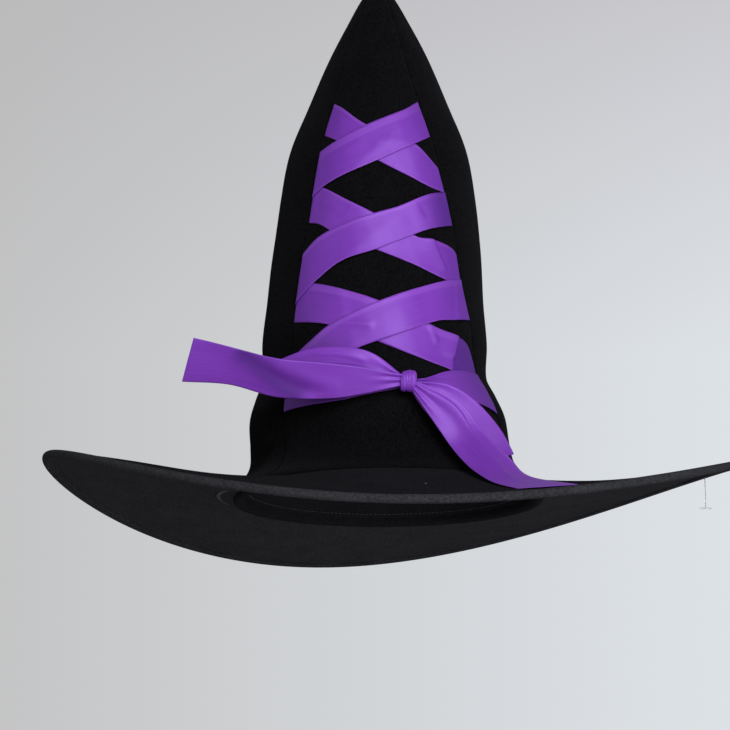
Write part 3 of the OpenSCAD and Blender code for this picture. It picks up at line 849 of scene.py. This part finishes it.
# folds of single strands: start and end as (place across at FOLD_R, height), width, height, and
# width of the steep side
LACE_FOLDS = {
    "lace_left_1": [((-30, 245), (-14, 236), 3, 0.3, None)],
    "lace_right_1": [((-22, 205), (2, 226), 5, 0.45, None), ((2, 226), (22, 222), 4, 0.3, None)],
    "lace_left_2": [((44, 138), (33, 160), 5, 1.1, 0.7), ((-46, 188), (-24, 178), 4, -0.6, None)],
    "lace_right_2": [((-24, 143), (10, 172), 6, 0.5, None), ((26, 176), (44, 186), 5, -0.7, None)],
    "lace_left_3": [((51, 98), (47, 74), 0.5, 1.2, 9), ((51, 102), (48, 80), 9, 1.6, None),
                    ((30, 99), (35, 88), 2, 1.0, None), ((-26, 126), (-22, 104), 5, 0.6, None)],
    "lace_right_3": [((-27, 100), (-5, 97), 2.5, 0.8, None), ((-38, 84), (-20, 78), 3, -0.7, None),
                     ((52, 106), (53, 134), 2, 0.7, None)],
}
# painted shade growing towards a strand's right end as it turns from the light, and where the dull
# underside of a folded one shows, also shaded, from 0 to 1
RIGHT_END_SHADE = {"lace_right_2": 0.85, "lace_right_4": 0.5}
UNDERSIDE_SHADE = {"lace_left_3": ((51, 98), (47, 74))}


def lace_grid(name, rows=22, cols=150):
    """Strand as rows up its width and columns across the gore, and its painted shade at each point.

    It lies on the slumped crown at its layer's height, ripples with the cloth below, carries its
    own folds, and sinks into the seam at each end that reaches one.
    """
    upper, lower = LACES[name]
    lo, hi = upper[0][0], upper[-1][0]
    c = np.linspace(lo, hi, cols)[None, :]
    v = np.linspace(0, 1, rows)[:, None]
    z = mix(table_at(lower, c), table_at(upper, c), v)
    t = turn(z) + seam(z) * c
    over = name.startswith("lace_right")
    out = LACE_TOP_OUT if over else LACE_UNDER_OUT
    x = np.radians(t) * FOLD_R
    ripple = 0.2 * sin(8 * x + 3.1 * z + 40) + 0.12 * sin(15 * x - 5 * z + 70)
    lift = ripple * bell(np.abs(c) - 0.5, 0.5)
    for fold in LACE_FOLDS.get(name, []):
        lift = lift + ridge(x, z, *fold)
    lift = lift + 0.05 * sin(31 * x + 11 * z) * np.sin(np.pi * v)
    lift = lift + (0.12 * (bell(v, 0.06) + bell(1 - v, 0.06)) if over else 0)
    lift = slump(t, z) + out + np.maximum(lift, -0.5)
    away = (1 - np.abs(c)) * np.radians(seam(z)) * crown_w(z)
    lift = lift - 2.2 * bell(away, 1.3) - 0.9 * bell(away, 9)
    if name.endswith("_4"):
        inner = c - lo if over else hi - c
        gather = bell(inner, 0.3)
        pleat = np.cos(2 * np.pi * (2.6 * v**1.4 + 0.15 * sin(400 * inner)))
        lift = lift + gather * (0.7 * pleat + 0.5)
    # painted shade: a little all over, and more towards both ends where the strand turns from the
    # light
    dull = RIGHT_END_SHADE.get(name, 0.4) * smooth((c - 0.4) / 0.5)
    dull = 0.1 + dull + 0.28 * smooth((-c - 0.3) / 0.5) + 0 * v
    # the dull back past the fold line, darkened further as painted shade behind the fold
    if name in UNDERSIDE_SHADE:
        (x0, z0), (x1, z1) = UNDERSIDE_SHADE[name]
        past = x - x0 - (x1 - x0) * (z - z0) / (z1 - z0)
        dull = np.maximum(dull, 0.9 * smooth(past / 0.8 + 0.5))
    return crown_pt(t, z, lift), dull


def make_ribbon(name, points, body, held, rests, **mesh):
    """Piece of satin ribbon, whose cut length is that of its middle row."""
    piece = grid_mesh(f"{name}_satin", points, thick=RIBBON_T, **mesh)
    dress(piece, SATIN, body, "satin", name)
    length = run_of(points[points.shape[0] // 2])


def make_lacing():
    """The eight strands, the right-hand ones over the left-hand ones."""
    for name in LACES:
        points, dull = lace_grid(name)
        make_ribbon(name, points, "hat", "stretched", "crown_front_velour", dull=dull)


# ---- bow ----
KNOT_BACK = float(-crown_pt(0, KNOT_Z - KNOT_R)[1]) + KNOT_CLEAR
KNOT = np.array([KNOT_X, -KNOT_BACK - KNOT_DEPTH / 2, KNOT_Z])


def on_brim(t, s, lift):
    """Where a tail lies on the brim, from the knot."""
    return tuple(brim_pt(t, s, lift) - KNOT)


# lower and upper edge of each piece of ribbon, from the knot outwards
TAIL_LEFT = (
    [(-3.5, -1.6, -3), (-27, -1, -8.3), (-49, 0, -11.5), (-82, 3, -10.5), (-112, 8, -1.5),
     (-141, 13, 1)],
    [(-3.5, -3, 3.2), (-27, -6, 6.7), (-49, -7, 9), (-82, -5.5, 12.5), (-112, -2.5, 20.5),
     (-134, 1.5, 26.5)],
)
TAIL_RIGHT = (
    [(0.8, -2, -4.5), (15, -4.4, -27), (26.4, -10.5, -45), on_brim(18.2, 0.204, 4.8),
     on_brim(18, 0.475, 2), on_brim(18.8, 0.735, 0.9)],
    [(4.2, -2.5, -0.4), (31, -4, -14), (45, -8.5, -33.5), on_brim(27.9, 0.257, 13),
     on_brim(27.2, 0.46, 4.7), on_brim(28.2, 0.85, 1.1)],
)
LOOP_LEFT = (
    [(-3.5, 1.6, -3), (-22, 3, -5), (-42, 6, -2.5), (-64, 11, -2.5), (-87, 18.5, -3.5)],
    [(-3.5, 1.2, 3.4), (-22, 0, 17), (-40, 2.5, 21.5), (-62, 8, 21), (-86, 17, 13.5)],
)
LOOP_RIGHT = (
    [(0.8, 1.6, -4.5), (8, 1.5, -16), (19, 0.5, -29), (33, 0.5, -44), (48, -3.5, -51)],
    [(4.2, 1.6, -0.4), (24, 0.5, -2.5), (41, 3.5, -12), (56, 7.5, -28), (65.5, 6.5, -45)],
)


def pleats(u, v, count, reach, height, phase=0.0):
    """Pleats that fan out of the knot: waves across the ribbon that die out along it."""
    return height * bell(u, reach) * np.cos(2 * np.pi * (count * v + phase))


def tail_grid(edges, folds, rows=26, cols=170):
    """Tail of the bow between its two edges, with its pleats, folds and soft waves."""
    u = np.linspace(0, 1, cols)[None, :]
    v = np.linspace(0, 1, rows)[:, None]
    lower, upper = (path_at(e, u[0])[None] for e in edges)
    base = KNOT + mix(lower, upper, v[..., None])
    normal = grid_normals(base)
    front = np.sign(-normal[..., 1:2].mean())
    return base + front * normal * folds(u, v)[..., None]


def left_tail_folds(u, v):
    """Pleats at the knot, the diagonal fold halfway, and slack waves towards the cut end."""
    lift = pleats(u, v**1.3, 2.2, 0.13, 0.5, 0.1)
    x, y = u * TAIL_LEFT_RUN, v * RIBBON_W
    lift += ridge(x, y, (62, 2), (104, 20), 4.5, -0.9) + ridge(x, y, (50, 6), (88, 21), 5.5, 0.6)
    lift += 0.45 * sin(500 * u + 120 * v) * smooth((u - 0.15) / 0.3)
    return lift + 0.25 * sin(900 * u - 260 * v + 40) * smooth((u - 0.3) / 0.3)


def left_tail_dull(u, v):
    """Painted shade: a dark band along the left tail's diagonal fold."""
    return 0.85 * ridge(u * TAIL_LEFT_RUN, v * RIBBON_W, (72, 0), (108, 21), 10, 1, 5)


def right_tail_folds(u, v):
    """Pleats at the knot, the long ridge down its length, and a wave where it meets the brim."""
    lift = pleats(u, v**0.8, 2.3, 0.16, 0.6, 0.35)
    lift += ridge(u * TAIL_RIGHT_RUN, v * RIBBON_W, (14, 19), (112, 13), 0.8, 1.3, 5)
    free = smooth((u - 0.1) / 0.3) * (1 - smooth((u - 0.55) / 0.2))
    return lift + 0.7 * sin(430 * u + 200 * v + 60) * free


def loop_grid(edges, folds, rows=24, cols=150):
    """Loop of the bow: out along its middle surface, round its end and back behind it."""
    a = np.linspace(0, 180, cols)
    u = sin(a)
    step = 0.01
    v = np.linspace(0, 1, rows)[:, None, None]
    lower, upper = (path_at(e, u) for e in edges)
    ahead = path_at(edges[0], np.minimum(1, u + step)) - path_at(edges[0], np.maximum(0, u - step))
    n = np.cross(upper - lower, ahead)
    n /= np.linalg.norm(n, axis=1, keepdims=True)
    n *= -np.sign(n[:, 1:2])
    half = LOOP_NIP + (LOOP_PUFF / 2 - LOOP_NIP) * np.minimum(1, 1.6 * u)
    belly = 1 - 0.35 * (2 * v[..., 0] - 1) ** 2
    push = cos(a)[None, :] * (half[None, :] * belly + folds(u[None, :], v[..., 0]))
    return KNOT + mix(lower[None], upper[None], v) + n[None] * push[..., None]


def left_loop_folds(u, v):
    """Pleats at the knot, a crease under the top edge and slack waves."""
    lift = pleats(u, v**1.2, 2.2, 0.25, 0.5, 0.2)
    x, y = u * LOOP_LEFT_RUN, v * RIBBON_W
    lift += ridge(x, y, (28, 17), (62, 20), 1.6, 0.9) + ridge(x, y, (10, 8), (70, 10), 2.4, -1.2)
    return lift + 0.35 * sin(700 * u + 190 * v)


def right_loop_folds(u, v):
    """Pleats at the knot that run on as soft gathers."""
    lift = pleats(u, v, 2.0, 0.5, 0.8, 0.0)
    return lift + 0.4 * sin(620 * u - 150 * v + 30)


def make_bow():
    """Two tails and two loops, each from the knot outwards."""
    tails = {"bow_tail_left": (TAIL_LEFT, left_tail_folds, left_tail_dull, True),
             "bow_tail_right": (TAIL_RIGHT, right_tail_folds, None, False)}
    for name, (edges, folds, dull_of, flip) in tails.items():
        points = tail_grid(edges, folds)
        v, u = np.meshgrid(*(np.linspace(0, 1, n) for n in points.shape[:2]), indexing="ij")
        # painted shade along the left tail's fold
        dull = dull_of(u, v) if dull_of else None
        make_ribbon(name, points, name, "hung", "knot_satin", flip=flip, side=0.0, dull=dull)
    loops = {"bow_loop_left": (LOOP_LEFT, left_loop_folds, True),
             "bow_loop_right": (LOOP_RIGHT, right_loop_folds, False)}
    for name, (edges, folds, flip) in loops.items():
        points = loop_grid(edges, folds)
        make_ribbon(name, points, name, "folded", "knot_satin", flip=flip, side=0.0)


def make_knot():
    """The knot: a band wrapped once round the gathered ribbon, pleated along its turn.

    Its section across is a flattened oval that is drawn in at both rims, with a neck behind it.
    """
    turns = np.linspace(0, 360, 121)[None, :]
    v = np.linspace(-1, 1, 34)[:, None]
    width = KNOT_R - 1.6
    plump = np.sqrt(np.clip(1 - np.abs(v) ** 5, 0, 1))
    tall = (KNOT_R + 0.2) * mix(0.42, 1, plump)
    deep = (KNOT_DEPTH / 2 + 0.3) * mix(0.35, 1, plump)
    across = v + 0.25 * cos(turns + 20)
    crease = 0.16 * np.cos(np.pi * 6.3 * across) + 0.1 * np.cos(np.pi * 11 * across + 1)
    crease = (crease + 0.4 * bell(across - 0.25, 0.2) - 0.35 * bell(across + 0.4, 0.12)) * plump
    x = width * v * (1 + 0.1 * sin(turns)) + 0.8 * cos(turns) * plump - 0.4
    y = -(deep + crease) * sin(turns)
    z = (tall + crease) * cos(turns) - 0.3
    points = KNOT + np.stack(np.broadcast_arrays(x, y, z), -1)
    ends = points[[0, -1]].mean(1, keepdims=True)
    inner = [mix(ends[i], points[row], 0.3) for i, row in ((0, 0), (1, -1))]
    points = np.concatenate([
        np.broadcast_to(ends[0], points[:1].shape), inner[0][None], points, inner[1][None],
        np.broadcast_to(ends[1], points[:1].shape)])
    knot = grid_mesh("knot_satin", points, flip=True)
    dress(knot, SATIN, "hat", "satin", "bow_knot")


# ---- tag fastener ----
def make_tag():
    """Clear fastener: a filament that widens into its cross bar, and its bar above the brim."""
    top = rim_pt(TAG_ANGLE, TAG_IN, -BRIM_T - TAG_CLEAR)
    foot = top - np.array([0, 0, TAG_DROP])
    u = np.linspace(0, 1, 40)
    path = mix(top, foot, u[:, None]) + np.stack([0.25 * np.sin(np.pi * u), 0 * u, 0 * u], -1)
    radii = 0.27 + 0.1 * bell(u - 1, 0.08) + 0.08 * bell(u, 0.05)
    radii[[0, -1]] = 0.001
    cross = bar(foot - [TAG_BAR / 2, 0, 0], foot + [TAG_BAR / 2, 0, 0], TAG_BAR_R)
    for name, points in (("tag_filament", tube(path, radii)), ("tag_cross_bar", cross)):
        dress(grid_mesh(name, points), CLEAR, "tag_fastener", "clear_plastic", "tag_fastener")
    slope = (rim_pt(TAG_ANGLE, 0)[2] - rim_pt(TAG_ANGLE, TAG_BAR)[2]) / TAG_BAR
    middle = rim_pt(TAG_ANGLE, TAG_IN, TAG_BAR_R + TAG_CLEAR)
    half = TAG_BAR / 2 * np.array([np.sqrt(1 - slope**2), 0, slope])
    anchor = grid_mesh("tag_top_bar", bar(middle - half, middle + half, TAG_BAR_R))
    dress(anchor, CLEAR, "hat", "clear_plastic", "tag_anchor_bar")


def finish_metal():
    """Materials of the wire and its ferrule, whose CAD shapes are right as they are."""
    for name, material in (("brim_edge_wire", STEEL), ("wire_ferrule", BRASS)):
        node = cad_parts[name]
        node.data.materials.clear()
        node.data.materials.append(material)


# ---- studio ----
def make_studio():
    """Pale floor, soft lights and a backdrop that is brighter towards +X."""
    scene = bpy.context.scene
    scene.view_settings.view_transform = "Standard"
    scene.view_settings.look = "None"
    world = bpy.data.worlds.new("studio")
    scene.world = world
    world.use_nodes = True
    tree = world.node_tree
    tree.nodes.clear()
    place = tree.nodes.new("ShaderNodeTexCoord").outputs["Generated"]
    parts = add_node(tree, "ShaderNodeSeparateXYZ", {"Vector": place}).outputs
    sideways = range_node(tree, parts["X"], -0.12, 0.22)
    low = blend_node(tree, sideways, (0.545, 0.545, 0.55, 1), (0.73, 0.765, 0.80, 1))
    high = blend_node(tree, sideways, (0.485, 0.485, 0.49, 1), (0.58, 0.575, 0.61, 1))
    colour = blend_node(tree, range_node(tree, parts["Z"], 0.2, 0.36), low, high)
    seen = tree.nodes.new("ShaderNodeLightPath").outputs["Is Camera Ray"]
    strength = range_node(tree, seen, 0.0, 1.0, 0.4, 1.0)
    glow = add_node(tree, "ShaderNodeBackground", {"Color": colour, "Strength": strength})
    out = tree.nodes.new("ShaderNodeOutputWorld")
    tree.links.new(glow.outputs[0], out.inputs["Surface"])

    corner, height = 6.0, -0.62
    square = np.array([(-1, -1, 1), (1, -1, 1), (1, 1, 1), (-1, 1, 1)])
    floor = new_mesh("studio_floor", square * (corner, corner, height) / MM, [[0, 1, 2, 3]])
    pale, tree, shader, _ = new_material("pale_floor")
    set_inputs(tree, shader, {"Base Color": (0.62, 0.62, 0.63, 1), "Roughness": 0.9})
    floor.data.materials.append(pale)

    add_light("key", (0.45, -2.1, 0.85), (0.02, -0.05, 0.12), 1.5, 52)
    add_light("side", (-1.7, -0.9, 0.3), (0.0, 0.0, 0.15), 1.0, 7)
    add_light("bounce", (0.9, -0.9, -0.56), (0.12, 0.0, 0.0), 0.9, 16)


def add_light(name, place, target, size, power):
    """Square soft light aimed at a point."""
    lamp = bpy.data.lights.new(name, "AREA")
    lamp.size = size
    lamp.energy = power
    obj = bpy.data.objects.new(name, lamp)
    bpy.context.scene.collection.objects.link(obj)
    away = np.array(place, float) - np.array(target, float)
    obj.matrix_world = look_along(place, -away, (0, 0, 1))


def look_along(place, forward, up):
    """Matrix of a camera or light at a place, looking forward with up upwards."""
    f = np.array(forward, float) / np.linalg.norm(forward)
    right = np.cross(f, up)
    right /= np.linalg.norm(right)
    top = np.cross(right, f)
    rows = np.stack([right, top, -f, np.array(place, float)], 1)
    return Matrix([*rows.tolist(), (0, 0, 0, 1)])


def make_camera():
    """Camera in front of and below the hat, looking slightly up and to the right."""
    data = bpy.data.cameras.new("camera")
    data.sensor_width, data.lens = 36.0, 112.08
    data.clip_start, data.clip_end = 0.05, 50
    camera = bpy.data.objects.new("camera", data)
    bpy.context.scene.collection.objects.link(camera)
    place, azimuth, pitch, roll = (-0.0965, -1.4840, -0.2136), 3.153, 11.455, 0.26
    forward = (sin(azimuth) * cos(pitch), cos(azimuth) * cos(pitch), sin(pitch))
    camera.matrix_world = look_along(place, forward, (0, 0, 1)) @ Matrix.Rotation(
        -np.radians(roll), 4, "Z")
    bpy.context.scene.camera = camera


make_camera()
make_studio()
make_crown()
make_brim()
make_sweatband()
make_lacing()
make_bow()
make_knot()
make_tag()
finish_metal()
